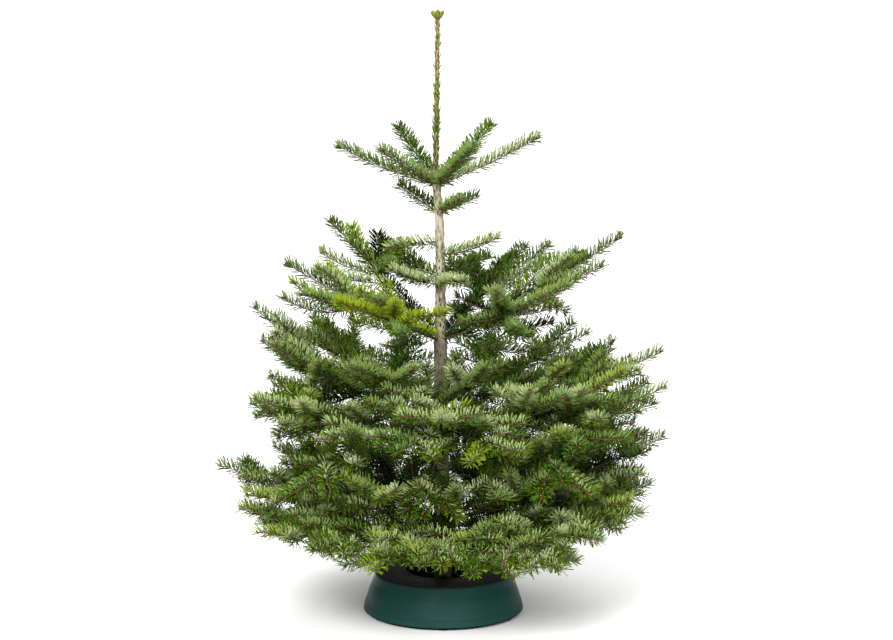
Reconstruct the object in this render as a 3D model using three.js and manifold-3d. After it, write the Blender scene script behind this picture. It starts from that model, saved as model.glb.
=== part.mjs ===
// A cut young fir sold as a christmas tree, standing in a round water stand.
// Millimetres, +Z up. The origin is the middle of the stand's flat underside, on the floor.
// The tree is open and young: a long bare leader, then whorls of boughs one year apart. Every bough
// is grown year by year by one branching rule, and each bough carries one mass of foliage.
import * as THREE from "three";
import { mergeVertices } from "three/addons/utils/BufferGeometryUtils.js";
import Module from "manifold-3d";

const wasm = await Module();
wasm.setup();

// ---------------------------------------------------------------- sizes
const GAP = 0.3; // clearance between two solids that meet
const BUTT_Z = 15; // the flat saw cut at the foot of the trunk
const TIP_Z = 1334; // top of the leader's wood, under its cluster of buds
const NEEDLE_REACH = 25; // how far the needles stand out round a shoot
const LIMB_END = 0.4; // how much of a bough's first year is bare limb

// The trunk's axis: x at each height, for its slight lean, and its radius there.
const TRUNK_LINE = [
  // z, x, radius
  [BUTT_Z, 0, 23],
  [40, -0.4, 21.8],
  [120, -1.6, 20],
  [200, -2.7, 19],
  [300, -4, 17.6],
  [400, -5, 16.6],
  [500, -6, 15.6],
  [616, -6.2, 14.4],
  [640, -6, 12.8],
  [800, -7, 10.8],
  [880, -8.2, 10],
  [964, -15, 9],
  [985, -16.3, 6.6],
  [1150, -14.5, 5.2],
  [1290, -12.5, 4.4],
  [TIP_Z, -12.5, 5.2],
];

// Every bough: height on the trunk, azimuth (0 is the front, -Y, and 90 the right, +X), how far it
// turns on its way out, length, elevation at the trunk and at the tip, age in years, and the seed
// of its branching.
const BOUGHS = {
  // the youngest whorl, one shoot a bough
  whorl1_right: [964, 90, 0, 245, 20, 30, 1, 1],
  whorl1_back_right: [964, 140, 0, 225, 30, 34, 1, 2],
  whorl1_back_left: [964, -152, 0, 215, 32, 30, 1, 3],
  whorl1_left: [964, -95, 0, 230, 14, 28, 1, 4],
  whorl1_front_left: [964, -42, 0, 200, 24, 30, 1, 5],
  whorl1_front_right: [964, 24, 0, 215, 24, 30, 1, 6],
  // single shoots between the whorls
  between_upper_back_left: [904, -135, 0, 135, 18, 24, 1, 7],
  between_upper_back_right: [904, 110, 0, 95, 14, 22, 1, 8],
  between_upper_front_right: [904, 40, 0, 85, 20, 26, 1, 9],
  between_left: [831, -80, 0, 115, 4, -10, 1, 10],
  between_right: [808, 78, 0, 135, 6, 30, 1, 11],
  between_middle_left: [745, -71, 0, 100, 0, 30, 1, 12],
  between_middle_back_left: [760, -132, 0, 166, 8, 4, 1, 13],
  between_middle_back_right: [760, 138, 0, 165, 8, 11, 1, 14],
  between_middle_front_right: [745, 20, 0, 150, 10, 7, 1, 15],
  between_lower_front_left: [480, -35, 0, 352, 20, 22, 2, 283],
  between_lower_front_right: [480, 24, 0, 269, 16, 35, 2, 27],
  between_lower_right: [480, 71, 0, 259, 10, 26, 2, 195],
  // the second whorl
  whorl2_front_right: [616, 42, 5, 420, 20, 26, 2, 241],
  whorl2_right: [616, 97, 0, 460, 26, 32, 2, 219],
  whorl2_back_right: [616, 150, -10, 380, 24, 30, 2, 162],
  whorl2_back_left: [616, -136, 0, 432, 34, 31, 2, 218],
  whorl2_left: [616, -93, 0, 381, 22, 31, 2, 192],
  whorl2_front_left: [616, -32, -25, 340, 22, 20, 2, 40],
  // the third whorl, with seven boughs
  whorl3_left: [400, -94, 0, 505, 26, 43, 3, 211],
  whorl3_back_left: [400, -138, 0, 494, 22, 29, 3, 59],
  whorl3_back_right: [400, 137, 0, 493, 22, 26, 3, 187],
  whorl3_right: [400, 92, 0, 525, 16, 26, 3, 189],
  whorl3_front_right: [400, 56, 0, 507, 12, 33, 3, 163],
  whorl3_front: [400, 0, 0, 430, 24, 8, 3, 133],
  whorl3_front_left: [400, -57, 0, 492, 12, 20, 3, 75],
  // the lowest whorl, whose front boughs hang over the stand
  whorl4_left: [200, -90, 0, 512, 12, 18, 4, 239],
  whorl4_back_left: [200, -137, 0, 507, 10, 16, 4, 3],
  whorl4_back_right: [200, 144, 0, 495, 10, 16, 4, 148],
  whorl4_right: [200, 96, 0, 535, 16, 25, 4, 71],
  whorl4_front_right: [200, 46, 0, 463, 8, 2, 4, 22],
  whorl4_front: [200, 10, 0, 369, 8, -15, 3, 51],
  whorl4_front_left: [200, -39, 0, 437, 6, 0, 4, 133],
};

// Forks: strong side branches of a bough. The bough, how far along it the fork starts, then the
// same numbers as above from the azimuth on.
const FORKS = [
  ["whorl2_left", 0.54, -86, 0, 150, 4, 31, 1, 51],
  ["whorl2_back_left", 0.54, -140, 0, 145, 26, 58, 1, 52],
  ["whorl3_left", 0.4, -102, 0, 255, 10, 39, 2, 244],
  ["whorl3_left", 0.4, -56, 0, 246, 0, 28, 2, 150],
  ["whorl3_right", 0.4, 73, 0, 316, -6, 29, 2, 299],
  ["whorl3_front_left", 0.4, -69, 0, 276, 0, 28, 2, 101],
  ["whorl3_front_right", 0.4, 53, 0, 289, -10, 8, 2, 177],
  ["whorl3_front", 0.4, -23, 0, 239, -10, 2, 2, 2],
  ["whorl3_front", 0.4, 38, 0, 281, -10, 4, 2, 169],
  ["whorl4_left", 0.31, -67, 0, 318, -10, 20, 3, 281],
  ["whorl4_front_left", 0.31, -67, 0, 342, -4, 13, 3, 66],
  ["whorl4_front_left", 0.31, -13, 0, 263, -10, -2, 2, 173],
  ["whorl4_right", 0.31, 78, 0, 317, -4, 23, 3, 149],
  ["whorl4_front_right", 0.31, 76, 0, 347, 0, 17, 3, 17],
  ["whorl4_front_right", 0.31, 30, 0, 304, -10, -1, 3, 12],
  ["whorl4_front", 0.4, 32, 0, 246, -12, -6, 2, 280],
  ["whorl4_front", 0.4, -17, 0, 226, -8, 1, 2, 79],
  ["whorl3_front", 0.2, -10, 0, 280, -42, -20, 2, 248],
  ["whorl4_front", 0.25, 4, 0, 250, 46, 20, 2, 283],
  ["whorl4_front_left", 0.3, -28, 0, 280, 42, 24, 2, 12],
  ["whorl4_front_right", 0.3, 33, 0, 280, 42, 24, 2, 261],
  ["whorl3_front_left", 0.4, -42, 0, 280, -36, -14, 2, 155],
  ["whorl3_front_right", 0.4, 38, 0, 280, -36, -14, 2, 83],
  ["whorl3_left", 0.4, -104, 0, 260, -26, -6, 2, 56],
  ["whorl3_right", 0.4, 104, 0, 280, -26, -6, 2, 188],
  ["whorl3_back_left", 0.4, -170, 0, 260, -26, -6, 2, 274],
  ["whorl4_back_left", 0.31, -166, 0, 260, 24, 22, 2, 61],
  ["whorl4_back_right", 0.31, 172, 0, 270, 8, 16, 2, 62],
  ["whorl3_back_right", 0.4, 170, 0, 260, -12, 8, 2, 144],
  ["whorl4_left", 0.31, -98, 0, 260, 38, 24, 2, 54],
  ["whorl4_right", 0.31, 100, 0, 270, 38, 24, 2, 79],
  ["whorl2_front_left", 0.54, 42, 0, 185, 8, 16, 1, 81],
  ["whorl2_front_left", 0.54, 9, 0, 165, -10, 8, 1, 82],
  ["whorl2_front_left", 0.54, -164, 0, 85, 30, 80, 1, 83],
  ["whorl2_front_right", 0.54, -49, 0, 135, -10, 9, 1, 84],
  ["whorl2_front_right", 0.54, -76, 0, 120, 10, 32, 1, 85],
  ["whorl2_front_right", 0.54, -10, 0, 165, 24, 28, 1, 86],
  ["whorl2_front_right", 0.54, 5, 0, 165, -14, 11, 1, 87],
  ["whorl2_back_right", 0.54, 107, 0, 180, 30, 33, 1, 88],
  ["whorl2_back_right", 0.54, 142, 0, 137, 40, 18, 1, 89],
  ["whorl2_back_right", 0.4, 118, 0, 115, 40, 64, 1, 90],
  ["whorl2_left", 0.5, -57, 0, 210, -16, 35, 1, 91],
  ["whorl2_right", 0.5, 30, 0, 147, -14, -6, 1, 92],
  ["whorl2_back_left", 0.54, -170, 0, 100, 40, 80, 1, 93],
  ["whorl3_right", 0.4, 82, 0, 250, 10, 70, 2, 27],
  ["whorl3_front_right", 0.4, 68, 0, 310, 8, 18, 2, 184],
  ["between_lower_right", 0.2, 24, 0, 185, -30, -70, 1, 96],
  ["between_lower_front_left", 0.15, -3, 0, 100, 60, 46, 1, 97],
  ["between_lower_front_right", 0.15, 24, 0, 112, 55, 72, 1, 98],
  ["between_middle_back_left", 0.3, -113, 0, 80, 40, 27, 1, 99],
  ["between_middle_left", 0.3, -58, 0, 100, 10, 32, 1, 100],
  ["whorl3_left", 0.35, -71, 0, 228, -30, -8, 2, 127],
  ["whorl4_front_left", 0.2, -7, 0, 190, 50, 72, 1, 102],
];

// Small shoots that start close together on the trunk share one mass, with a ring round the trunk.
const SHARED = ["between_upper", "between_middle", "between_lower"];

// How a bough's length is shared out between its years, the oldest first.
const YEAR_SHARES = { 1: [1], 2: [0.54, 0.46], 3: [0.4, 0.32, 0.28], 4: [0.31, 0.26, 0.23, 0.2] };
const LIMB_RADIUS = { 2: 4.6, 3: 5.2, 4: 5.8 }; // at the trunk, by the bough's age

// The stand: a moulded housing on a black base, a collar, a water well and three clamp jaws.
const PAD_HEIGHT = 3.5;
const PAD_RADIUS = 12;
const PAD_CIRCLE = 160;
const PAD_COUNT = 6;
const BASE_TOP = 6.6;
const BASE_RADIUS = 175;
const HUB_RADIUS = 60;
const WALL = 3;
const HOUSING_OUTER = [
  // r, z
  [179.5, BASE_TOP + GAP],
  [177.6, 20.6],
  [176, 22],
  [172.7, 34],
  [167, 53],
  [159, 71],
  [154, 90],
];
const COLLAR_INNER = 84;
const COLLAR_OUTER = 153.6;
const COLLAR_TOP = 95.4;
const SEAM_RADIUS = 96;
const WELL_RADIUS = 82;
const WELL_TOP = 90;
const WELL_FLOOR = 11;
const JAW_COUNT = 3;
const JAW_WIDTH = 15;

// ---------------------------------------------------------------- small tools
const rad = THREE.MathUtils.degToRad;

// A seeded row of numbers between 0 and 1, so that the tree always grows alike.
function seeded(seed) {
  let state = seed * 7919 + 17;
  return () => {
    state = (state * 1664525 + 1013904223) % 4294967296;
    return state / 4294967296;
  };
}

function direction(azimuth, elevation) {
  const [a, e] = [rad(azimuth), rad(elevation)];
  return new THREE.Vector3(Math.sin(a) * Math.cos(e), -Math.cos(a) * Math.cos(e), Math.sin(e));
}

function trunkAt(z) {
  const i = Math.max(1, TRUNK_LINE.findIndex((row) => row[0] >= z));
  const [a, b] = [TRUNK_LINE[i - 1], TRUNK_LINE[i]];
  const t = (z - a[0]) / (b[0] - a[0]);
  return { x: a[1] + t * (b[1] - a[1]), radius: a[2] + t * (b[2] - a[2]) };
}

function closed(geometry) {
  const plain = geometry.clone();
  plain.deleteAttribute("normal");
  plain.deleteAttribute("uv");
  return mergeVertices(plain, 1e-3);
}

function toSolid(geometry) {
  const merged = closed(geometry);
  return new wasm.Manifold(
    new wasm.Mesh({
      numProp: 3,
      vertProperties: merged.attributes.position.array,
      triVerts: new Uint32Array(merged.index.array),
    }),
  );
}

function toGeometry(solid) {
  const mesh = solid.getMesh();
  const geometry = new THREE.BufferGeometry();
  geometry.setAttribute("position", new THREE.BufferAttribute(mesh.vertProperties, 3));
  geometry.setIndex(new THREE.BufferAttribute(mesh.triVerts, 1));
  return geometry;
}

// The largest separate piece of a geometry, by its box: what a cut leaves over is dropped.
function largestPiece(geometry) {
  const index = geometry.index.array;
  const position = geometry.attributes.position;
  const parent = Array.from({ length: position.count }, (_, i) => i);
  const find = (i) => {
    while (parent[i] !== i) {
      parent[i] = parent[parent[i]];
      i = parent[i];
    }
    return i;
  };
  for (let i = 0; i < index.length; i += 3) {
    parent[find(index[i + 1])] = find(index[i]);
    parent[find(index[i + 2])] = find(index[i]);
  }
  const sizes = new Map();
  const [a, b, c] = [new THREE.Vector3(), new THREE.Vector3(), new THREE.Vector3()];
  for (let i = 0; i < index.length; i += 3) {
    a.fromBufferAttribute(position, index[i]);
    b.fromBufferAttribute(position, index[i + 1]);
    c.fromBufferAttribute(position, index[i + 2]);
    const volume = a.dot(b.cross(c)) / 6;
    sizes.set(find(index[i]), (sizes.get(find(index[i])) ?? 0) + volume);
  }
  const best = [...sizes].sort((p, q) => q[1] - p[1])[0][0];
  const kept = [];
  for (let i = 0; i < index.length; i += 3)
    if (find(index[i]) === best) kept.push(index[i], index[i + 1], index[i + 2]);
  const out = new THREE.BufferGeometry();
  out.setAttribute("position", position);
  out.setIndex(kept);
  return out;
}

// A unit cylinder or sphere standing along +Y, bent along a line of points. Its height runs along
// the line, its sections lie square to it, and radius(t, turn) gives their reach.
function bend(geometry, points, radius, flat = 1) {
  const curve = new THREE.CatmullRomCurve3(points, false, "centripetal");
  const up = new THREE.Vector3(0, 0, 1);
  const position = geometry.attributes.position;
  const v = new THREE.Vector3();
  for (let i = 0; i < position.count; i++) {
    v.fromBufferAttribute(position, i);
    const t = THREE.MathUtils.clamp(v.y, 0, 1);
    const centre = curve.getPoint(t);
    const tangent = curve.getTangent(t);
    const side = tangent.clone().cross(Math.abs(tangent.z) > 0.95 ? new THREE.Vector3(0, 1, 0) : up);
    side.normalize();
    const over = side.clone().cross(tangent);
    const turn = Math.atan2(v.z, v.x);
    const reach = Math.hypot(v.x, v.z) < 1e-6 ? 0 : radius(t, turn);
    centre.addScaledVector(side, Math.cos(turn) * reach);
    centre.addScaledVector(over, Math.sin(turn) * reach * flat);
    position.setXYZ(i, centre.x, centre.y, centre.z);
  }
  return geometry;
}

// ---------------------------------------------------------------- the branching rule
// A bough grows in years. At the end of each year two side shoots and one or two odd ones start,
// and they grow by the same rule. Each chain of years is one line of points.
function grow(chains, start, azimuth, turn, length, e0, e1, years, r, order) {
  const shares = YEAR_SHARES[years];
  const line = [start.clone()];
  const p = start.clone();
  const chain = { line, order, years, length, shoots: [] };
  chains.push(chain);
  let done = 0;
  for (let year = 0; year < years; year++) {
    const shoot = { points: [p.clone()], age: years - 1 - year, length: length * shares[year] };
    for (let i = 0; i < 5; i++) {
      const t = done + ((i + 0.5) / 5) * shares[year];
      p.addScaledVector(direction(azimuth + turn * t, e0 + (e1 - e0) * t), shoot.length / 5);
      shoot.points.push(p.clone());
      line.push(p.clone());
    }
    chain.shoots.push(shoot);
    done += shares[year];
    if (shoot.age === 0 || order > 1) continue;
    const el = e0 + (e1 - e0) * done;
    const az = azimuth + turn * done;
    const rest = length * (1 - done);
    for (const side of [-1, 1]) {
      const spread = 48 + 14 * r();
      const reach = rest * (0.72 + 0.2 * r());
      const from = el - 26 + 30 * r();
      const to = el - 8 + 18 * r();
      grow(chains, p, az + side * spread, -side * 10, reach, from, to, shoot.age, r, order + 1);
    }
    for (let extra = 0; extra < (order === 0 ? 2 : 1); extra++) {
      const side = (extra + Math.floor(10 * r())) % 2 ? -1 : 1;
      const odd = az + side * (20 + 60 * r());
      const reach = rest * (0.45 + 0.3 * r());
      const from = el + (extra === 0 ? 28 : -30) * (0.6 + 0.5 * r());
      grow(chains, p, odd, 0, reach, from, el + 5, Math.max(1, shoot.age - 1), r, order + 2);
    }
  }
  return chains;
}

function boughOf(name) {
  const [z, azimuth, turn, length, e0, e1, years, seed] = BOUGHS[name];
  const chains = [];
  const start = new THREE.Vector3(trunkAt(z).x, 0, z);
  grow(chains, start, azimuth, turn, length, e0, e1, years, seeded(seed), 0);
  const main = new THREE.CatmullRomCurve3(chains[0].line, false, "centripetal");
  for (const [owner, share, ...fork] of FORKS) {
    if (owner !== name) continue;
    const own = seeded(fork.pop());
    grow(chains, main.getPointAt(share), ...fork, own, 0);
  }
  return chains;
}

// The shoots between the whorls are leafy from the trunk on; a whorl's older boughs are bare there.
const hasLimb = (name) => name.startsWith("whorl") && BOUGHS[name][6] > 1;

// ---------------------------------------------------------------- solids of the tree
// The trunk is one tapering, leaning stem from the saw cut to the leader's buds.
function trunkGeometry(extra = 0) {
  const rows = TRUNK_LINE.length - 1;
  const geometry = new THREE.CylinderGeometry(1, 1, 1, 10, rows);
  const position = geometry.attributes.position;
  for (let i = 0; i < position.count; i++) {
    const [z, x, radius] = TRUNK_LINE[Math.round((position.getY(i) + 0.5) * rows)];
    const reach = radius + extra;
    position.setXYZ(i, x + position.getX(i) * reach, -position.getZ(i) * reach, z);
  }
  return geometry;
}

// The bare part of a bough: a round limb that tapers from the trunk to where the foliage starts.
function limbLine(name) {
  const [z, , , , , , years] = BOUGHS[name];
  const line = boughOf(name)[0].line;
  const clear = trunkAt(z).radius * 0.7;
  const curve = new THREE.CatmullRomCurve3(line, false, "centripetal");
  const whole = curve.getLength();
  const first = YEAR_SHARES[years][0] * LIMB_END;
  const points = [];
  for (let i = 0; i <= 3; i++) {
    const along = clear / whole + (first - clear / whole) * (i / 3);
    points.push(curve.getPointAt(along));
  }
  return points;
}

function limbGeometry(name, extra = 0) {
  const geometry = new THREE.CylinderGeometry(1, 1, 1, 6, 1).translate(0, 0.5, 0);
  const base = LIMB_RADIUS[BOUGHS[name][6]];
  return bend(geometry, limbLine(name), (t) => base * (1.12 - 0.34 * t) + extra);
}

// One lobe of a mass: a low-sided, uneven spindle of needles round a chain of shoots.
function lobeGeometry(points, reach, r, extra, main) {
  const rings = main ? [0, 0.13, 0.52, 0.9, 1] : [0, 0.24, 0.84, 1];
  const rows = rings.length - 1;
  const geometry = new THREE.SphereGeometry(1, main ? 5 : 4, rows);
  const position = geometry.attributes.position;
  for (let i = 0; i < position.count; i++) {
    const down = Math.acos(THREE.MathUtils.clamp(position.getY(i), -1, 1)) / Math.PI;
    position.setY(i, rings[rows - Math.round(down * rows)]);
  }
  const wobble = Array.from({ length: 64 }, () => 0.9 + 0.2 * r());
  const shape = (t) => (t < 0.2 ? 0.72 : t < 0.7 ? 1 : 0.66);
  return bend(
    geometry,
    points,
    (t, turn) => {
      const corner = Math.round(9 * Math.cos(turn)) * 3 + Math.round(9 * Math.sin(turn)) * 5;
      return reach * shape(t) * wobble[(Math.round(t * 100) * 7 + corner + 128) % 64] + extra;
    },
    0.86,
  );
}

function massSolid(name, extra = 0) {
  const [z, , , length, , , years, seed] = BOUGHS[name];
  const r = seeded(seed + 500);
  const chains = boughOf(name);
  let solid;
  for (const chain of chains) {
    if (chain.length < (chain.order > 1 ? 0.5 : 0.4) * length) continue;
    const curve = new THREE.CatmullRomCurve3(chain.line, false, "centripetal");
    let from = 0;
    if (chain === chains[0]) {
      const clear = trunkAt(z).radius / curve.getLength();
      from = hasLimb(name) ? YEAR_SHARES[years][0] * LIMB_END + 2.4 / length : clear * 0.6;
    }
    const count = chain.order === 0 ? 5 : 3;
    const points = [];
    for (let i = 0; i <= count; i++) points.push(curve.getPointAt(from + (1 - from) * (i / count)));
    const end = direction(0, 90).copy(curve.getTangentAt(1));
    points[count].addScaledVector(end, NEEDLE_REACH * 0.45);
    const lead = curve.getTangentAt(from);
    points[0].addScaledVector(lead, -extra);
    points[count].addScaledVector(end, extra);
    const reach = NEEDLE_REACH * (chain.years === 1 ? 1 : 1.25);
    const lobe = toSolid(lobeGeometry(points, reach, r, extra, chain.order === 0));
    solid = solid ? solid.add(lobe) : lobe;
  }
  return solid;
}

// ---------------------------------------------------------------- materials
const bark = new THREE.MeshStandardMaterial({ color: 0x8d7c66, roughness: 0.9 });
const twigBark = new THREE.MeshStandardMaterial({ color: 0x7a5c3e, roughness: 0.85 });
const needles = new THREE.MeshStandardMaterial({ color: 0x3f6136, roughness: 0.6 });
const brightNeedles = new THREE.MeshStandardMaterial({ color: 0x6f8f3c, roughness: 0.6 });
const greenPlastic = new THREE.MeshStandardMaterial({ color: 0x16423a, roughness: 0.45 });
const greyPlastic = new THREE.MeshStandardMaterial({ color: 0x2f332e, roughness: 0.55 });
const blackPlastic = new THREE.MeshStandardMaterial({ color: 0x141513, roughness: 0.6 });

const tree = new THREE.Group();
function place(name, geometry, material, group = tree) {
  const mesh = new THREE.Mesh(geometry, material);
  mesh.name = name;
  group.add(mesh);
  return mesh;
}

// ---------------------------------------------------------------- the stand
const stand = new THREE.Group();
tree.add(stand);

// A profile of r and z turned round the stand's axis, which lies along +Z.
function turned(profile, segments) {
  const points = profile.map(([r, z]) => new THREE.Vector2(r, z));
  return new THREE.LatheGeometry(points, segments).rotateX(Math.PI / 2);
}

// Base: a thin black disc on six round pads and a flat hub, all in one moulding.
let base = toSolid(
  turned([[0, PAD_HEIGHT], [BASE_RADIUS, PAD_HEIGHT], [BASE_RADIUS, BASE_TOP], [0, BASE_TOP]], 40),
);
const hub = new THREE.CylinderGeometry(HUB_RADIUS, HUB_RADIUS, PAD_HEIGHT + 1, 24);
base = base.add(toSolid(hub.rotateX(Math.PI / 2).translate(0, 0, (PAD_HEIGHT + 1) / 2)));
for (let i = 0; i < PAD_COUNT; i++) {
  const at = direction((360 / PAD_COUNT) * i, 0).multiplyScalar(PAD_CIRCLE);
  const pad = new THREE.CylinderGeometry(PAD_RADIUS, PAD_RADIUS, PAD_HEIGHT + 1, 8);
  base = base.add(toSolid(pad.rotateX(Math.PI / 2).translate(at.x, at.y, (PAD_HEIGHT + 1) / 2)));
}
place("stand_base", toGeometry(base), blackPlastic, stand);

// Housing: the sloping green wall, with a band round its foot, open above and below.
const inner = [HOUSING_OUTER.at(-1), HOUSING_OUTER[4], HOUSING_OUTER[0]];
const housing = [...HOUSING_OUTER, ...inner.map(([r, z]) => [r - WALL, z]), HOUSING_OUTER[0]];
place("stand_housing", turned(housing, 36), greenPlastic, stand);

// Collar: the flat grey ring on top, with a seam round it and a round mouth for the trunk.
const collar = [
  [COLLAR_INNER, 90 + GAP],
  [COLLAR_OUTER, 90 + GAP],
  [COLLAR_OUTER - 3, 93.4],
  [SEAM_RADIUS + 1, COLLAR_TOP],
  [SEAM_RADIUS, COLLAR_TOP - 1],
  [SEAM_RADIUS - 1, COLLAR_TOP],
  [COLLAR_INNER, COLLAR_TOP],
  [COLLAR_INNER, 90 + GAP],
];
place("stand_collar", turned(collar, 36), greyPlastic, stand);

// Well: the black cup that holds the water, with a low boss that the saw cut stands on.
const well = [
  [0, BASE_TOP + GAP],
  [WELL_RADIUS, BASE_TOP + GAP],
  [WELL_RADIUS, WELL_TOP],
  [WELL_RADIUS - WALL, WELL_TOP],
  [WELL_RADIUS - WALL, WELL_FLOOR],
  [26, WELL_FLOOR],
  [26, BUTT_Z - GAP],
  [0, BUTT_Z - GAP],
];
place("stand_well", turned(well, 32), blackPlastic, stand);

// Jaws: each is a hooked lever, hinged near the well's wall, whose toe grips the trunk.
const jawShape = new THREE.Shape(
  [[22.9, 62], [30, 50], [60, 34], [66, 16], [WELL_RADIUS - WALL - 1, 16], [WELL_RADIUS - WALL - 1, 44],
    [64, 60], [36, 82], [22.9, 84]].map(([r, z]) => new THREE.Vector2(r, z)),
);
for (let i = 0; i < JAW_COUNT; i++) {
  const jaw = new THREE.ExtrudeGeometry(jawShape, { depth: JAW_WIDTH, bevelEnabled: false });
  jaw.translate(0, 0, -JAW_WIDTH / 2).rotateX(Math.PI / 2);
  const mesh = place(`stand_jaw_${i + 1}`, jaw, blackPlastic, stand);
  mesh.rotation.z = rad(30 + (360 / JAW_COUNT) * i);
}

// ---------------------------------------------------------------- trunk, limbs and masses
function overlaps(p, q) {
  const [a, b] = [p.boundingBox(), q.boundingBox()];
  return [0, 1, 2].every((k) => a.min[k] < b.max[k] && b.min[k] < a.max[k]);
}

place("trunk", trunkGeometry(), bark);
const trunkCut = toSolid(trunkGeometry(GAP + 0.1));
const limbCuts = [];
for (const name of Object.keys(BOUGHS).filter(hasLimb)) {
  let limb = toSolid(limbGeometry(name)).subtract(trunkCut);
  for (const cutter of limbCuts) if (overlaps(limb, cutter)) limb = limb.subtract(cutter);
  place(`${name}_limb`, largestPiece(toGeometry(limb)), twigBark);
  limbCuts.push(toSolid(limbGeometry(name, GAP + 0.1)));
}

// The stand's outside, a little swollen, for the masses that hang low over it.
const standCut = toSolid(
  turned([[0, 0], [187, 0], [181, 34], [167, 71], [161, 97], [0, 97]], 12),
);

// The ring of short needles round the trunk that joins the shoots of a shared mass.
function ringSolid(names, extra) {
  const heights = names.map((name) => BOUGHS[name][0]);
  const [low, high] = [Math.min(...heights) - 9 - extra, Math.max(...heights) + 15 + extra];
  const { x, radius } = trunkAt((low + high) / 2);
  const ring = new THREE.CylinderGeometry(radius + 8 + extra, radius + 9 + extra, high - low, 8);
  return toSolid(ring.rotateX(Math.PI / 2).translate(x, 0, (low + high) / 2));
}

// The masses: one to a bough, or one to each group of small shoots that start close together.
const masses = new Map();
for (const name of Object.keys(BOUGHS)) {
  const mass = SHARED.find((group) => name.startsWith(group)) ?? name;
  masses.set(mass, [...(masses.get(mass) ?? []), name]);
}
function wholeMass(names, extra) {
  let solid = names.length > 1 ? ringSolid(names, extra) : undefined;
  for (const name of names) {
    const part = massSolid(name, extra);
    solid = solid ? solid.add(part) : part;
  }
  return solid;
}

// Each mass is cut round the trunk, the limbs, the stand and the masses placed before it.
const cutters = [trunkCut, standCut, ...limbCuts];
for (const [mass, names] of masses) {
  let solid = wholeMass(names, 0);
  for (const cutter of cutters) if (overlaps(solid, cutter)) solid = solid.subtract(cutter);
  cutters.push(wholeMass(names, GAP + 0.1));
  const bright = mass === "whorl2_front_left";
  place(`${mass}_foliage`, largestPiece(toGeometry(solid)), bright ? brightNeedles : needles);
}

// The leader's short needles lie close along it, and its buds stand in a tuft at the very top.
const leaderHeights = [990, 1110, 1230, 1347];
const leaderLine = leaderHeights.map((z) => new THREE.Vector3(trunkAt(Math.min(z, TIP_Z)).x, 0, z));
const leader = bend(
  new THREE.CylinderGeometry(1, 1, 1, 6, 7).translate(0, 0.5, 0),
  leaderLine,
  (t) => (t > 0.9 ? 17 : 9 + 1.2 * Math.sin(20 * t)),
);
place("leader_foliage", largestPiece(toGeometry(toSolid(leader).subtract(trunkCut))), needles);

export default tree;
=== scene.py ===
import math

import bpy
import numpy as np
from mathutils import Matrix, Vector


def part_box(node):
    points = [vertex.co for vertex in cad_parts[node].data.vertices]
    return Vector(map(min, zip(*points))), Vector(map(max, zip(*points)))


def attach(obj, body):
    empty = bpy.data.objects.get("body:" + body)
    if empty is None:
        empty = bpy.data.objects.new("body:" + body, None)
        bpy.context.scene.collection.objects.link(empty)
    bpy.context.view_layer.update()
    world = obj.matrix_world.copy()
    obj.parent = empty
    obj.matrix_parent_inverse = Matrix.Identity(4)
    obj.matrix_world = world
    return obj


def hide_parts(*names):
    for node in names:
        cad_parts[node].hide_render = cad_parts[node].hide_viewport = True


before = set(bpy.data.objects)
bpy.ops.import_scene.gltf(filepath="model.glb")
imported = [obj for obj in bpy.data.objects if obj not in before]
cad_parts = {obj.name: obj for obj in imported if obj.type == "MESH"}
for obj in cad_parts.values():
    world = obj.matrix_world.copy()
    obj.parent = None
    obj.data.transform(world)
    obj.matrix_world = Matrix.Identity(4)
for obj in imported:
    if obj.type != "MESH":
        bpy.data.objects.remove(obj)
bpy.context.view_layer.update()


# ------------------------------------------------------------------ the room
# The tree stands on a plain pale floor in white surroundings. A wide soft light comes from the
# front left and above, a weaker one from the front right, and a very wide one from high behind.
world = bpy.data.worlds.new("white_room")
world.use_nodes = True
world.node_tree.nodes["Background"].inputs["Color"].default_value = (1.0, 1.0, 1.0, 1.0)
world.node_tree.nodes["Background"].inputs["Strength"].default_value = 0.30
bpy.context.scene.world = world
bpy.context.scene.view_settings.view_transform = "Standard"


def soft_light(name, strength, spread, azimuth, elevation):
    """A broad light from far away. Azimuth 0 is the front, 90 the right."""
    data = bpy.data.lights.new(name, "SUN")
    data.energy = strength
    data.angle = math.radians(spread)
    light = bpy.data.objects.new(name, data)
    light.rotation_euler = (math.radians(90 - elevation), 0.0, math.radians(azimuth))
    bpy.context.collection.objects.link(light)


soft_light("key_light", 4.9, 30, -22, 38)
soft_light("fill_light", 2.1, 50, 28, 28)
soft_light("top_light", 2.8, 80, 150, 68)

floor_mesh = bpy.data.meshes.new("floor")
floor_mesh.from_pydata([(-60, -20, 0), (60, -20, 0), (60, 90, 0), (-60, 90, 0)], [], [(0, 1, 2, 3)])
floor = bpy.data.objects.new("floor", floor_mesh)
bpy.context.collection.objects.link(floor)
floor_paint = bpy.data.materials.new("pale_floor")
floor_paint.use_nodes = True
floor_shader = floor_paint.node_tree.nodes["Principled BSDF"]
floor_shader.inputs["Base Color"].default_value = (0.72, 0.72, 0.72, 1)
floor_shader.inputs["Roughness"].default_value = 0.9
floor_mesh.materials.append(floor_paint)

LOOKS_DOWN = 9.435
camera_data = bpy.data.cameras.new("camera")
camera_data.sensor_width = 36
camera_data.lens = 110.6
camera = bpy.data.objects.new("camera", camera_data)
camera.location = (0.007, -6.0, 1.66)
camera.rotation_euler = (math.radians(90 - LOOKS_DOWN), 0.0, 0.0)
bpy.context.collection.objects.link(camera)
bpy.context.scene.camera = camera


# ------------------------------------------------------------------ the stand's base
# A black polypropylene disc, moulded in one piece with six round pads and a flat hub under the
# middle. The housing clips down over its rim.
HUB_RADIUS = 0.060
PAD_HEIGHT = 0.0035
PAD_RADIUS = 0.012
PAD_CIRCLE = 0.160
PAD_COUNT = 6


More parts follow.
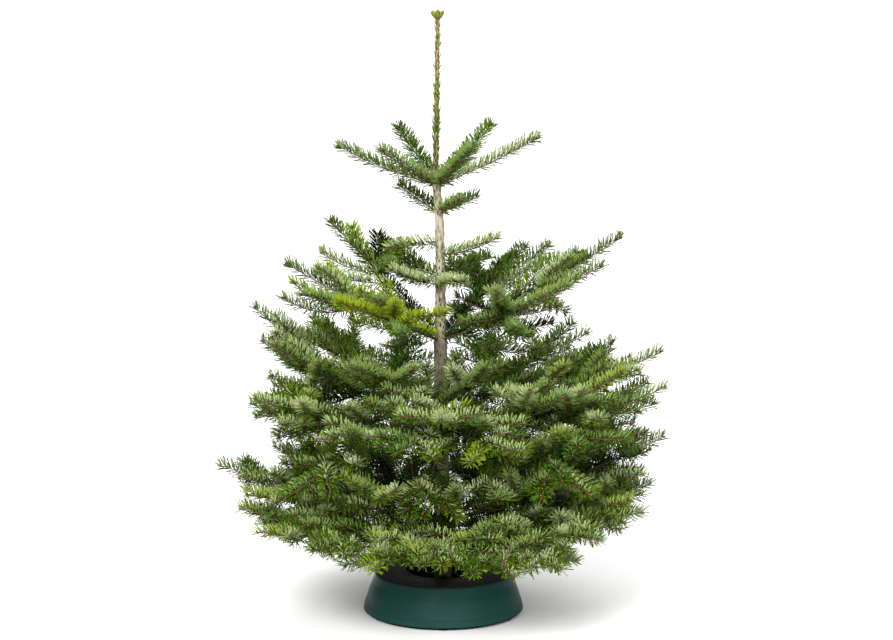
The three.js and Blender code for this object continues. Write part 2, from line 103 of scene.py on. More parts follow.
def soften(corners, radius, closed, steps=3):
    """The same outline with each corner turned into a small arc."""
    corners = [np.array(c, float) for c in corners]
    count = len(corners)
    line = []
    for i, here in enumerate(corners):
        if not closed and i in (0, count - 1):
            line.append(here)
            continue
        before = corners[i - 1] - here
        after = corners[(i + 1) % count] - here
        reach = min(radius, 0.45 * np.linalg.norm(before), 0.45 * np.linalg.norm(after))
        start = here + before / np.linalg.norm(before) * reach
        end = here + after / np.linalg.norm(after) * reach
        for k in range(steps + 1):
            t = k / steps
            line.append((1 - t) ** 2 * start + 2 * t * (1 - t) * here + t * t * end)
    return line


def turned_surface(outline, closed, segments=160, axis=(0.0, 0.0)):
    """Points and faces of an outline of (radius, height) turned round an upright axis at x, y."""
    rows = len(outline)
    angles = np.arange(segments) / segments * 2 * math.pi
    points = []
    for radius, height in outline:
        x = axis[0] + radius * np.cos(angles)
        y = axis[1] + radius * np.sin(angles)
        points.append(np.stack([x, y, np.full(segments, height)], axis=1))
    faces = []
    for row in range(rows if closed else rows - 1):
        below = row * segments
        above = (row + 1) % rows * segments
        for i in range(segments):
            j = (i + 1) % segments
            faces.append((below + i, below + j, above + j, above + i))
    if not closed:
        faces.append(tuple(range(segments))[::-1])
        faces.append(tuple((rows - 1) * segments + i for i in range(segments)))
    return np.concatenate(points), faces


def make_piece(name, surfaces, materials, sharp_above=35):
    """One object made of several surfaces, smooth but for its sharp edges, riding on the body."""
    points = []
    faces = []
    for surface_points, surface_faces in surfaces:
        first = sum(len(p) for p in points)
        points.append(np.asarray(surface_points))
        faces += [tuple(first + i for i in face) for face in surface_faces]
    mesh = bpy.data.meshes.new(name)
    mesh.from_pydata(np.concatenate(points).tolist(), [], faces)
    mesh.validate()
    mesh.shade_smooth()
    mesh.set_sharp_from_angle(angle=math.radians(sharp_above))
    for material in materials:
        mesh.materials.append(material)
    piece = bpy.data.objects.new(name, mesh)
    bpy.context.collection.objects.link(piece)
    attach(piece, "root")
    return piece


def shader_of(material):
    return material.node_tree.nodes["Principled BSDF"]


def moulded_plastic(name, colour, colour_deep, roughness, grain_per_metre, grain_depth):
    """Moulded plastic: a fine eroded grain, faint cloudiness and a few duller, handled places."""
    material = bpy.data.materials.new(name)
    material.use_nodes = True
    nodes = material.node_tree.nodes
    links = material.node_tree.links
    shader = shader_of(material)
    place = nodes.new("ShaderNodeTexCoord")
    cloud = nodes.new("ShaderNodeTexNoise")
    cloud.inputs["Scale"].default_value = 9.0
    cloud.inputs["Detail"].default_value = 4.0
    links.new(place.outputs["Object"], cloud.inputs["Vector"])
    tint = nodes.new("ShaderNodeValToRGB")
    tint.color_ramp.elements[0].position = 0.3
    tint.color_ramp.elements[0].color = (*colour_deep, 1)
    tint.color_ramp.elements[1].position = 0.7
    tint.color_ramp.elements[1].color = (*colour, 1)
    links.new(cloud.outputs["Fac"], tint.inputs["Fac"])
    links.new(tint.outputs["Color"], shader.inputs["Base Color"])
    wear = nodes.new("ShaderNodeMapRange")
    wear.inputs["To Min"].default_value = roughness - 0.06
    wear.inputs["To Max"].default_value = roughness + 0.08
    links.new(cloud.outputs["Fac"], wear.inputs["Value"])
    links.new(wear.outputs["Result"], shader.inputs["Roughness"])
    grain = nodes.new("ShaderNodeTexNoise")
    grain.inputs["Scale"].default_value = grain_per_metre
    grain.inputs["Detail"].default_value = 3.0
    links.new(place.outputs["Object"], grain.inputs["Vector"])
    relief = nodes.new("ShaderNodeBump")
    relief.inputs["Strength"].default_value = 0.5
    relief.inputs["Distance"].default_value = grain_depth
    shader.inputs["Specular IOR Level"].default_value = 0.05
    links.new(grain.outputs["Fac"], relief.inputs["Height"])
    links.new(relief.outputs["Normal"], shader.inputs["Normal"])
    return material


black_plastic = moulded_plastic(
    "black_plastic",
    colour=(0.008, 0.008, 0.0075),
    colour_deep=(0.004, 0.004, 0.004),
    roughness=0.5,
    grain_per_metre=700,
    grain_depth=0.0002,
)

_, base_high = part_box("stand_base")
base_radius = base_high.x
base_disc = soften(
    [
        (0.001, PAD_HEIGHT),
        (base_radius, PAD_HEIGHT),
        (base_radius, base_high.z),
        (0.001, base_high.z),
    ],
    0.0008,
    closed=False,
)
base_surfaces = [turned_surface(base_disc, closed=False)]
# the hub and the pads run 1 mm into the disc
pad_top = PAD_HEIGHT + 0.001
hub = soften(
    [(0.001, 0.0), (HUB_RADIUS, 0.0), (HUB_RADIUS, pad_top), (0.001, pad_top)],
    0.001,
    closed=False,
)
base_surfaces.append(turned_surface(hub, closed=False, segments=72))
pad = soften(
    [(0.0004, 0.0), (PAD_RADIUS, 0.0), (PAD_RADIUS, pad_top), (0.0004, pad_top)],
    0.0012,
    closed=False,
)
for i in range(PAD_COUNT):
    turn = 2 * math.pi * i / PAD_COUNT
    centre = (PAD_CIRCLE * math.sin(turn), -PAD_CIRCLE * math.cos(turn))
    base_surfaces.append(turned_surface(pad, closed=False, segments=32, axis=centre))
base = make_piece("stand_base_moulding", base_surfaces, [black_plastic])
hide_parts("stand_base")


# ------------------------------------------------------------------ the stand's housing
# The sloping wall is injection moulded in dark green plastic, 3 mm thick, with a plain band round
# its foot under a fine shadow line. Its foot clips over the rim of the base.
WALL = 0.003
housing_low, housing_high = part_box("stand_housing")
foot_radius = housing_high.x
foot_height = housing_low.z
outside = [
    (foot_radius - 0.0004, foot_height),
    (foot_radius, foot_height + 0.0016),
    (foot_radius - 0.0010, foot_height + 0.0066),
    (foot_radius - 0.0021, foot_height + 0.0134),
    (foot_radius - 0.0032, foot_height + 0.0142),
    (foot_radius - 0.0033, foot_height + 0.0152),
    (foot_radius - 0.0028, foot_height + 0.0158),
    (0.1727, 0.034),
    (0.1700, 0.0438),
    (0.1670, 0.053),
    (0.1632, 0.0622),
    (0.1590, 0.071),
    (0.1565, 0.0796),
    (0.1545, 0.0870),
    (0.1537, 0.0893),
    (0.1522, housing_high.z),
]
inside = [
    (0.1510, 0.0894),
    (0.1560, 0.071),
    (0.1640, 0.053),
    (0.1697, 0.034),
    (foot_radius - WALL, foot_height),
]
housing_outline = soften(outside + inside, 0.0006, closed=True, steps=2)
green_plastic = moulded_plastic(
    "green_plastic",
    colour=(0.0105, 0.043, 0.0355),
    colour_deep=(0.0075, 0.034, 0.028),
    roughness=0.40,
    grain_per_metre=650,
    grain_depth=0.00022,
)
housing_surface = turned_surface(housing_outline, closed=True, segments=200)
housing = make_piece("stand_housing_wall", [housing_surface], [green_plastic], 50)
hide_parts("stand_housing")


# ------------------------------------------------------------------ the stand's collar
# A charcoal grey ring snaps on over the housing. A fine seam runs round it outside the mouth, and
# a small plain red oval is set in it on the right, over the water gauge.
collar_low, collar_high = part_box("stand_collar")
collar_radius = collar_high.x
collar_outline = soften(
    [
        (0.084, collar_low.z),
        (collar_radius, collar_low.z),
        (collar_radius - 0.0003, collar_low.z + 0.0010),
        (collar_radius - 0.0035, collar_low.z + 0.0029),
        (0.125, collar_high.z - 0.0010),
        (0.0978, collar_high.z - 0.0001),
        (0.0968, collar_high.z - 0.0013),
        (0.0956, collar_high.z - 0.0013),
        (0.0948, collar_high.z - 0.0001),
        (0.0862, collar_high.z - 0.0001),
        (0.0842, collar_high.z - 0.0020),
    ],
    0.0005,
    closed=True,
    steps=2,
)
grey_plastic = moulded_plastic(
    "grey_plastic",
    colour=(0.022, 0.025, 0.021),
    colour_deep=(0.015, 0.017, 0.0145),
    roughness=0.46,
    grain_per_metre=650,
    grain_depth=0.0002,
)
collar_surface = turned_surface(collar_outline, closed=True, segments=180)
collar = make_piece("stand_collar_ring", [collar_surface], [grey_plastic], 50)
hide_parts("stand_collar")

red_plastic = moulded_plastic(
    "red_plastic",
    colour=(0.20, 0.008, 0.008),
    colour_deep=(0.16, 0.007, 0.007),
    roughness=0.35,
    grain_per_metre=500,
    grain_depth=0.00005,
)
OVAL_PLACE = (0.1235, -0.024)
OVAL_HALF_LENGTH = 0.0055
OVAL_HALF_WIDTH = 0.0035
OVAL_SIDES = 40
turn = np.arange(OVAL_SIDES) / OVAL_SIDES * 2 * math.pi
oval_rows = []
for reach, height in ((0.30, 0.00035), (0.80, 0.0003), (1.0, 0.0), (1.0, -0.0008)):
    x = OVAL_PLACE[0] + OVAL_HALF_LENGTH * reach * np.cos(turn)
    y = OVAL_PLACE[1] + OVAL_HALF_WIDTH * reach * np.sin(turn)
    z = np.full(OVAL_SIDES, collar_high.z - 0.0009 + height)
    oval_rows.append(np.stack([x, y, z], axis=1))
oval_faces = [tuple(range(OVAL_SIDES))]
for row in range(len(oval_rows) - 1):
    for i in range(OVAL_SIDES):
        j = (i + 1) % OVAL_SIDES
        above = row * OVAL_SIDES
        below = above + OVAL_SIDES
        oval_faces.append((above + j, above + i, below + i, below + j))
gauge = make_piece("water_gauge_oval", [(np.concatenate(oval_rows), oval_faces)], [red_plastic])


# ------------------------------------------------------------------ the well, jaws and rod
# The black cup holds the water and the butt of the trunk. Three hooked jaws hinge on its wall and
# close on the trunk, and a short steel rod of the clamp shows behind it.
WELL_FLOOR = 0.011
SEAT_RADIUS = 0.026
SEAT_TOP = 0.0147
well_low, well_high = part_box("stand_well")
well_radius = well_high.x
well_outline = soften(
    [
        (0.001, well_low.z),
        (well_radius, well_low.z),
        (well_radius, well_high.z),
        (well_radius - WALL, well_high.z),
        (well_radius - WALL, WELL_FLOOR),
        (SEAT_RADIUS, WELL_FLOOR),
        (SEAT_RADIUS - 0.0005, SEAT_TOP),
        (0.001, SEAT_TOP),
    ],
    0.0012,
    closed=False,
)
well_surface = turned_surface(well_outline, closed=False, segments=120)
well = make_piece("stand_well_cup", [well_surface], [black_plastic])
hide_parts("stand_well")
for i in (1, 2, 3):
    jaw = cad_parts[f"stand_jaw_{i}"]
    jaw.data.materials.clear()
    jaw.data.materials.append(black_plastic)
    edge = jaw.modifiers.new("rounded_edges", "BEVEL")
    edge.width = 0.0012
    edge.segments = 2

steel = bpy.data.materials.new("rod_steel")
steel.use_nodes = True
shader_of(steel).inputs["Base Color"].default_value = (0.42, 0.42, 0.41, 1)
shader_of(steel).inputs["Metallic"].default_value = 1.0
shader_of(steel).inputs["Roughness"].default_value = 0.32
ROD_RADIUS = 0.0016
ROD_HALF_LENGTH = 0.0125
ROD_MIDDLE = (-0.0135, 0.046, 0.085)
rod_outline = soften(
    [
        (0.0002, -ROD_HALF_LENGTH),
        (ROD_RADIUS, -ROD_HALF_LENGTH),
        (ROD_RADIUS, ROD_HALF_LENGTH),
        (0.0002, ROD_HALF_LENGTH),
    ],
    0.0005,
    closed=False,
)
rod_points, rod_faces = turned_surface(rod_outline, closed=False, segments=20)
# the rod lies level, from left to right
rod_points = rod_points[:, (2, 0, 1)] + ROD_MIDDLE
rod = make_piece("clamp_rod", [(rod_points, rod_faces)], [steel])


# ------------------------------------------------------------------ the trunk
# One young stem, sawn flat at the foot. Its bark is smooth and tan above, with green streaks and the
# raised, pointed cushions that old needles leave, and rougher towards the foot, where its colour is
# darkened to near black as painted shade.
def noise3(points, seed):
    """Smooth, seeded, wandering values between -1 and 1 for points in space."""
    r = np.random.default_rng(seed)
    waves = r.normal(size=(14, 3))
    shifts = r.uniform(0, 2 * math.pi, 14)
    return np.sin(points @ waves.T + shifts).sum(axis=1) / 5.3


trunk_points = np.array([v.co[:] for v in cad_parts["trunk"].data.vertices])
trunk_rings = []
for height in sorted({round(float(z), 3) for z in trunk_points[:, 2]}):
    ring = trunk_points[np.abs(trunk_points[:, 2] - height) < 0.0006]
    middle = (ring[:, :2].max(axis=0) + ring[:, :2].min(axis=0)) / 2
    reach = np.linalg.norm(ring[:, :2] - middle, axis=1).max()
    trunk_rings.append((height, middle[0], middle[1], reach))
trunk_rings = np.array(trunk_rings)


def trunk_axis(height):
    """Where the middle of the trunk is at a height, and its radius there."""
    return [np.interp(height, trunk_rings[:, 0], trunk_rings[:, k]) for k in (1, 2, 3)]


WHORL_HEIGHTS = (0.200, 0.400, 0.616, 0.964)
AROUND = 72
heights = np.linspace(trunk_rings[0, 0], trunk_rings[-1, 0], 640)
turns = np.arange(AROUND) / AROUND * 2 * math.pi
axis_x, axis_y, radii = trunk_axis(heights)
z_grid, turn_grid = np.meshgrid(heights, turns, indexing="ij")
radius_grid = np.repeat(radii[:, None], AROUND, axis=1)
skin = np.stack([np.cos(turn_grid) * radius_grid, np.sin(turn_grid) * radius_grid, z_grid], axis=2)
flat_skin = skin.reshape(-1, 3)
lumps = noise3(flat_skin * (90, 90, 40), 3) * 0.5 + noise3(flat_skin * (300, 300, 120), 4) * 0.3
lumps = lumps.reshape(z_grid.shape)
# pointed cushions, each row half a place on, strong on the stretch that lost its needles last
CUSHION_SPACING = 0.0105
CUSHIONS_AROUND = 9
cushion_rows = z_grid / CUSHION_SPACING
columns = turn_grid / (2 * math.pi) * CUSHIONS_AROUND + np.floor(cushion_rows) * 0.5
across = np.abs((columns % 1.0) - 0.5) * 2
upward = cushion_rows % 1.0
cushions = np.clip(1 - across * 1.1 - upward * 0.75, 0, 1)
cushion_share = np.interp(z_grid, (0.0, 0.25, 0.42, 0.62, 0.9, 1.34), (0.25, 0.5, 1.0, 0.9, 0.45, 0.3))
swelling = np.zeros_like(z_grid)
for height in WHORL_HEIGHTS:
    swelling += 0.0016 * np.exp(-(((z_grid - height + 0.004) / 0.014) ** 2))
relief = 0.0007 * lumps + 0.0013 * cushions * cushion_share + swelling
relief *= np.interp(radius_grid, (0.004, 0.012, 0.02), (0.35, 0.8, 1.0))
radius_grid = radius_grid + relief - 0.0004
trunk_skin = np.stack(
    [
        axis_x[:, None] + np.cos(turn_grid) * radius_grid,
        axis_y[:, None] + np.sin(turn_grid) * radius_grid,
        z_grid,
    ],
    axis=2,
)
trunk_faces = []
for row in range(len(heights) - 1):
    for i in range(AROUND):
        j = (i + 1) % AROUND
        below = row * AROUND
        above = below + AROUND
        trunk_faces.append((below + i, below + j, above + j, above + i))
trunk_faces.append(tuple(range(AROUND))[::-1])
trunk_faces.append(tuple((len(heights) - 1) * AROUND + i for i in range(AROUND)))


def bark(name, stops, fleck, roughness, fleck_scale, along=0.35):
    """Bark whose colour runs from foot to top through the stops, with flecks and fine fissures."""
    material = bpy.data.materials.new(name)
    material.use_nodes = True
    nodes = material.node_tree.nodes
    links = material.node_tree.links
    shader = shader_of(material)
    place = nodes.new("ShaderNodeTexCoord")
    split = nodes.new("ShaderNodeSeparateXYZ")
    links.new(place.outputs["Object"], split.inputs["Vector"])
    rise = nodes.new("ShaderNodeMapRange")
    rise.inputs["From Max"].default_value = 1.35
    links.new(split.outputs["Z"], rise.inputs["Value"])
    tones = nodes.new("ShaderNodeValToRGB")
    # a new ramp has two stops already, so the two ends come first
    ramp = tones.color_ramp
    for k, (position, colour) in enumerate(stops):
        stop = ramp.elements[k] if k < 2 else ramp.elements.new(position)
        stop.position = position
        stop.color = (*colour, 1)
    links.new(rise.outputs["Result"], tones.inputs["Fac"])
    stretch = nodes.new("ShaderNodeMapping")
    stretch.inputs["Scale"].default_value = (1.0, 1.0, along)
    links.new(place.outputs["Object"], stretch.inputs["Vector"])
    flecks = nodes.new("ShaderNodeTexNoise")
    flecks.inputs["Scale"].default_value = fleck_scale
    flecks.inputs["Detail"].default_value = 5.0
    links.new(stretch.outputs["Vector"], flecks.inputs["Vector"])
    share = nodes.new("ShaderNodeValToRGB")
    share.color_ramp.elements[0].position = 0.47
    share.color_ramp.elements[0].color = (0, 0, 0, 1)
    share.color_ramp.elements[1].position = 0.62
    share.color_ramp.elements[1].color = (0.8, 0.8, 0.8, 1)
    links.new(flecks.outputs["Fac"], share.inputs["Fac"])
    blend = nodes.new("ShaderNodeMix")
    blend.data_type = "RGBA"
    links.new(share.outputs["Color"], blend.inputs["Factor"])
    links.new(tones.outputs["Color"], blend.inputs["A"])
    blend.inputs["B"].default_value = (*fleck, 1)
    links.new(blend.outputs["Result"], shader.inputs["Base Color"])
    fissures = nodes.new("ShaderNodeTexNoise")
    fissures.inputs["Scale"].default_value = fleck_scale * 3.0
    fissures.inputs["Detail"].default_value = 6.0
    links.new(stretch.outputs["Vector"], fissures.inputs["Vector"])
    raised = nodes.new("ShaderNodeBump")
    raised.inputs["Strength"].default_value = 0.7
    raised.inputs["Distance"].default_value = 0.0008
    links.new(fissures.outputs["Fac"], raised.inputs["Height"])
    links.new(raised.outputs["Normal"], shader.inputs["Normal"])
    shader.inputs["Roughness"].default_value = roughness
    return material


trunk_bark = bark(
    "trunk_bark",
    [
        # painted shade: the two lowest stops darken the foot, down in the well and under the lowest
        # boughs
        (0.0, (0.030, 0.018, 0.011)),
        (1.0, (0.27, 0.145, 0.085)),
        (0.18, (0.085, 0.065, 0.045)),
        (0.34, (0.235, 0.205, 0.150)),
        (0.52, (0.290, 0.250, 0.190)),
        (0.62, (0.360, 0.310, 0.240)),
        (0.71, (0.370, 0.310, 0.225)),
        (0.74, (0.230, 0.140, 0.075)),
    ],
    (0.095, 0.088, 0.036),
    0.75,
    150,
)
trunk = make_piece("trunk_with_bark", [(trunk_skin.reshape(-1, 3), trunk_faces)], [trunk_bark], 60)
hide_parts("trunk")


# ------------------------------------------------------------------ how the boughs grow
# Each bough lengthens once a year. Where a year ends, a pair of side shoots and one or two odd
# ones start, and each of those grows by the same rule. The CAD's foliage follows these lines too.
# height, azimuth (0 is the front, 90 the right), turn, length, elevation at trunk and tip, years, seed
BOUGHS = {
    # the youngest whorl, one shoot a bough
    "whorl1_right": (0.964, 90, 0, 0.245, 20, 30, 1, 1),
    "whorl1_back_right": (0.964, 140, 0, 0.225, 30, 34, 1, 2),
    "whorl1_back_left": (0.964, -152, 0, 0.215, 32, 30, 1, 3),
    "whorl1_left": (0.964, -95, 0, 0.230, 14, 28, 1, 4),
    "whorl1_front_left": (0.964, -42, 0, 0.200, 24, 30, 1, 5),
    "whorl1_front_right": (0.964, 24, 0, 0.215, 24, 30, 1, 6),
    # single shoots between the whorls
    "between_upper_back_left": (0.904, -135, 0, 0.135, 18, 24, 1, 7),
    "between_upper_back_right": (0.904, 110, 0, 0.095, 14, 22, 1, 8),
    "between_upper_front_right": (0.904, 40, 0, 0.085, 20, 26, 1, 9),
    "between_left": (0.831, -80, 0, 0.115, 4, -10, 1, 10),
    "between_right": (0.808, 78, 0, 0.135, 6, 30, 1, 11),
    "between_middle_left": (0.745, -71, 0, 0.100, 0, 30, 1, 12),
    "between_middle_back_left": (0.760, -132, 0, 0.166, 8, 4, 1, 13),
    "between_middle_back_right": (0.760, 138, 0, 0.165, 8, 11, 1, 14),
    "between_middle_front_right": (0.745, 20, 0, 0.150, 10, 7, 1, 15),
    "between_lower_front_left": (0.480, -35, 0, 0.352, 20, 22, 2, 283),
    "between_lower_front_right": (0.480, 24, 0, 0.269, 16, 35, 2, 27),
    "between_lower_right": (0.480, 71, 0, 0.259, 10, 26, 2, 195),
    # the second whorl
    "whorl2_front_right": (0.616, 42, 5, 0.420, 20, 26, 2, 241),
    "whorl2_right": (0.616, 97, 0, 0.460, 26, 32, 2, 219),
    "whorl2_back_right": (0.616, 150, -10, 0.380, 24, 30, 2, 162),
    "whorl2_back_left": (0.616, -136, 0, 0.432, 34, 31, 2, 218),
    "whorl2_left": (0.616, -93, 0, 0.381, 22, 31, 2, 192),
    "whorl2_front_left": (0.616, -32, -25, 0.340, 22, 20, 2, 40),
    # the third whorl, with seven boughs
    "whorl3_left": (0.400, -94, 0, 0.505, 26, 43, 3, 211),
    "whorl3_back_left": (0.400, -138, 0, 0.494, 22, 29, 3, 59),
    "whorl3_back_right": (0.400, 137, 0, 0.493, 22, 26, 3, 187),
    "whorl3_right": (0.400, 92, 0, 0.525, 16, 26, 3, 189),
    "whorl3_front_right": (0.400, 56, 0, 0.507, 12, 33, 3, 163),
    "whorl3_front": (0.400, 0, 0, 0.430, 24, 8, 3, 133),
    "whorl3_front_left": (0.400, -57, 0, 0.492, 12, 20, 3, 75),
    # the lowest whorl, whose front boughs hang over the stand
    "whorl4_left": (0.200, -90, 0, 0.512, 12, 18, 4, 239),
    "whorl4_back_left": (0.200, -137, 0, 0.507, 10, 16, 4, 3),
    "whorl4_back_right": (0.200, 144, 0, 0.495, 10, 16, 4, 148),
    "whorl4_right": (0.200, 96, 0, 0.535, 16, 25, 4, 71),
    "whorl4_front_right": (0.200, 46, 0, 0.463, 8, 2, 4, 22),
    "whorl4_front": (0.200, 10, 0, 0.369, 8, -15, 3, 51),
    "whorl4_front_left": (0.200, -39, 0, 0.437, 6, 0, 4, 133),
}
# strong side branches: the bough, how far along it they start, then as above from the azimuth on
FORKS = [
    ("whorl2_left", 0.54, -86, 0, 0.150, 4, 31, 1, 51),
    ("whorl2_back_left", 0.54, -140, 0, 0.145, 26, 58, 1, 52),
    ("whorl3_left", 0.4, -102, 0, 0.255, 10, 39, 2, 244),
    ("whorl3_left", 0.4, -56, 0, 0.246, 0, 28, 2, 150),
    ("whorl3_right", 0.4, 73, 0, 0.316, -6, 29, 2, 299),
    ("whorl3_front_left", 0.4, -69, 0, 0.276, 0, 28, 2, 101),
    ("whorl3_front_right", 0.4, 53, 0, 0.289, -10, 8, 2, 177),
    ("whorl3_front", 0.4, -23, 0, 0.239, -10, 2, 2, 2),
    ("whorl3_front", 0.4, 38, 0, 0.281, -10, 4, 2, 169),
    ("whorl4_left", 0.31, -67, 0, 0.318, -10, 20, 3, 281),
    ("whorl4_front_left", 0.31, -67, 0, 0.342, -4, 13, 3, 66),
    ("whorl4_front_left", 0.31, -13, 0, 0.263, -10, -2, 2, 173),
    ("whorl4_right", 0.31, 78, 0, 0.317, -4, 23, 3, 149),
    ("whorl4_front_right", 0.31, 76, 0, 0.347, 0, 17, 3, 17),
    ("whorl4_front_right", 0.31, 30, 0, 0.304, -10, -1, 3, 12),
    ("whorl4_front", 0.4, 32, 0, 0.246, -12, -6, 2, 280),
    ("whorl4_front", 0.4, -17, 0, 0.226, -8, 1, 2, 79),
    ("whorl3_front", 0.2, -10, 0, 0.280, -42, -20, 2, 248),
    ("whorl4_front", 0.25, 4, 0, 0.250, 46, 20, 2, 283),
    ("whorl4_front_left", 0.3, -28, 0, 0.280, 42, 24, 2, 12),
    ("whorl4_front_right", 0.3, 33, 0, 0.280, 42, 24, 2, 261),
    ("whorl3_front_left", 0.4, -42, 0, 0.280, -36, -14, 2, 155),
    ("whorl3_front_right", 0.4, 38, 0, 0.280, -36, -14, 2, 83),
    ("whorl3_left", 0.4, -104, 0, 0.260, -26, -6, 2, 56),
    ("whorl3_right", 0.4, 104, 0, 0.280, -26, -6, 2, 188),
    ("whorl3_back_left", 0.4, -170, 0, 0.260, -26, -6, 2, 274),
    ("whorl4_back_left", 0.31, -166, 0, 0.260, 24, 22, 2, 61),
    ("whorl4_back_right", 0.31, 172, 0, 0.270, 8, 16, 2, 62),
    ("whorl3_back_right", 0.4, 170, 0, 0.260, -12, 8, 2, 144),
    ("whorl4_left", 0.31, -98, 0, 0.260, 38, 24, 2, 54),
    ("whorl4_right", 0.31, 100, 0, 0.270, 38, 24, 2, 79),
    ("whorl2_front_left", 0.54, 42, 0, 0.185, 8, 16, 1, 81),
    ("whorl2_front_left", 0.54, 9, 0, 0.165, -10, 8, 1, 82),
    ("whorl2_front_left", 0.54, -164, 0, 0.085, 30, 80, 1, 83),
    ("whorl2_front_right", 0.54, -49, 0, 0.135, -10, 9, 1, 84),
    ("whorl2_front_right", 0.54, -76, 0, 0.120, 10, 32, 1, 85),
    ("whorl2_front_right", 0.54, -10, 0, 0.165, 24, 28, 1, 86),
    ("whorl2_front_right", 0.54, 5, 0, 0.165, -14, 11, 1, 87),
    ("whorl2_back_right", 0.54, 107, 0, 0.180, 30, 33, 1, 88),
    ("whorl2_back_right", 0.54, 142, 0, 0.137, 40, 18, 1, 89),
    ("whorl2_back_right", 0.4, 118, 0, 0.115, 40, 64, 1, 90),
    ("whorl2_left", 0.5, -57, 0, 0.210, -16, 35, 1, 91),
    ("whorl2_right", 0.5, 30, 0, 0.147, -14, -6, 1, 92),
    ("whorl2_back_left", 0.54, -170, 0, 0.100, 40, 80, 1, 93),
    ("whorl3_right", 0.4, 82, 0, 0.250, 10, 70, 2, 27),
    ("whorl3_front_right", 0.4, 68, 0, 0.310, 8, 18, 2, 184),
    ("between_lower_right", 0.2, 24, 0, 0.185, -30, -70, 1, 96),
    ("between_lower_front_left", 0.15, -3, 0, 0.100, 60, 46, 1, 97),
    ("between_lower_front_right", 0.15, 24, 0, 0.112, 55, 72, 1, 98),
    ("between_middle_back_left", 0.3, -113, 0, 0.080, 40, 27, 1, 99),
    ("between_middle_left", 0.3, -58, 0, 0.100, 10, 32, 1, 100),
    ("whorl3_left", 0.35, -71, 0, 0.228, -30, -8, 2, 127),
    ("whorl4_front_left", 0.2, -7, 0, 0.190, 50, 72, 1, 102),
]
YEAR_SHARES = {
    1: (1.0,),
    2: (0.54, 0.46),
    3: (0.40, 0.32, 0.28),
    4: (0.31, 0.26, 0.23, 0.20),
}


def seeded(seed):
    """A row of numbers between 0 and 1 that is always the same for a seed."""
    state = seed * 7919 + 17
    while True:
        state = (state * 1664525 + 1013904223) % 4294967296
        yield state / 4294967296


def direction(azimuth, elevation):
    a = math.radians(azimuth)
    e = math.radians(elevation)
    return np.array([math.sin(a) * math.cos(e), -math.cos(a) * math.cos(e), math.sin(e)])


STEPS_A_YEAR = 5


def grow(shoots, bough, start, azimuth, turn, length, rise_from, rise_to, years, row, order):
    """Adds every shoot of a bough, each one a year's growth, to the list of shoots."""
    shares = YEAR_SHARES[years]
    point = np.array(start, float)
    done = 0.0
    for year in range(years):
        age = years - 1 - year
        line = [point.copy()]
        for i in range(STEPS_A_YEAR):
            t = done + (i + 0.5) / STEPS_A_YEAR * shares[year]
            step = direction(azimuth + turn * t, rise_from + (rise_to - rise_from) * t)
            point = point + step * length * shares[year] / STEPS_A_YEAR
            line.append(point.copy())
        shoot = {
            "bough": bough,
            "line": np.array(line),
            "length": length * shares[year],
            "age": age,
            "order": order,
        }
        shoots.append(shoot)
        done += shares[year]
        if age == 0 or order > 1:
            continue
        rise = rise_from + (rise_to - rise_from) * done
        heading = azimuth + turn * done
        rest = length * (1 - done)
        for side in (-1, 1):
            aside = heading + side * (48 + 14 * next(row))
            reach = rest * (0.72 + 0.2 * next(row))
            low = rise - 26 + 30 * next(row)
            high = rise - 8 + 18 * next(row)
            grow(shoots, bough, point, aside, -side * 10, reach, low, high, age, row, order + 1)
        odd_ones = 2 if order == 0 else 1
        for extra in range(odd_ones):
            side = -1 if (extra + math.floor(10 * next(row))) % 2 else 1
            odd = heading + side * (20 + 60 * next(row))
            reach = rest * (0.45 + 0.3 * next(row))
            low = rise + (28 if extra == 0 else -30) * (0.6 + 0.5 * next(row))
            grow(shoots, bough, point, odd, 0, reach, low, rise + 5, max(1, age - 1), row, order + 2)


def add_late_shoots(grown, row):
    """Small late shoots stand along the older wood, between the year ends."""
    for shoot in list(grown):
        if shoot["age"] == 0:
            continue
        late_ones = 2 if shoot["order"] < 2 else 1
        for _ in range(late_ones):
            place = (0.25 + 0.7 * next(row)) * (len(shoot["line"]) - 1)
            k = int(place)
            along = shoot["line"][k + 1] - shoot["line"][k]
            side = -1 if next(row) < 0.5 else 1
            heading = math.degrees(math.atan2(along[0], -along[1])) + side * (5 + 70 * next(row))
            low = -45 + 95 * next(row)
            reach = max(0.055, shoot["length"] * (0.5 + 0.35 * next(row)))
            line = [shoot["line"][k] + (place - k) * along]
            for i in range(STEPS_A_YEAR):
                rise = low + (18 - low) * (i + 0.5) / STEPS_A_YEAR
                line.append(line[-1] + direction(heading, rise) * reach / STEPS_A_YEAR)
            late = {
                "bough": shoot["bough"],
                "line": np.array(line),
                "length": reach,
                "age": 0,
                "order": 3,
            }
            grown.append(late)


def grown_from(bough, start, azimuth, turn, length, rise_from, rise_to, years, seed):
    """All the shoots that one bough or fork grows from its start."""
    row = seeded(seed)
    grown = []
    grow(grown, bough, start, azimuth, turn, length, rise_from, rise_to, years, row, 0)
    add_late_shoots(grown, row)
    return grown


shoots = []
for bough, (height, *habit) in BOUGHS.items():
    x, y, _ = trunk_axis(height)
    grown = grown_from(bough, (x, y, height), *habit)
    shoots += grown
    # the bough's own line, over all its years
    own = [shoot["line"] for shoot in grown if shoot["order"] == 0]
    own = np.concatenate([own[0]] + [line[1:] for line in own[1:]])
    gone = np.concatenate([[0.0], np.cumsum(np.linalg.norm(np.diff(own, axis=0), axis=1))])
    for owner, share, *fork in FORKS:
        if owner == bough:
            start = [np.interp(share * gone[-1], gone, own[:, k]) for k in range(3)]
            shoots += grown_from(bough, start, *fork)


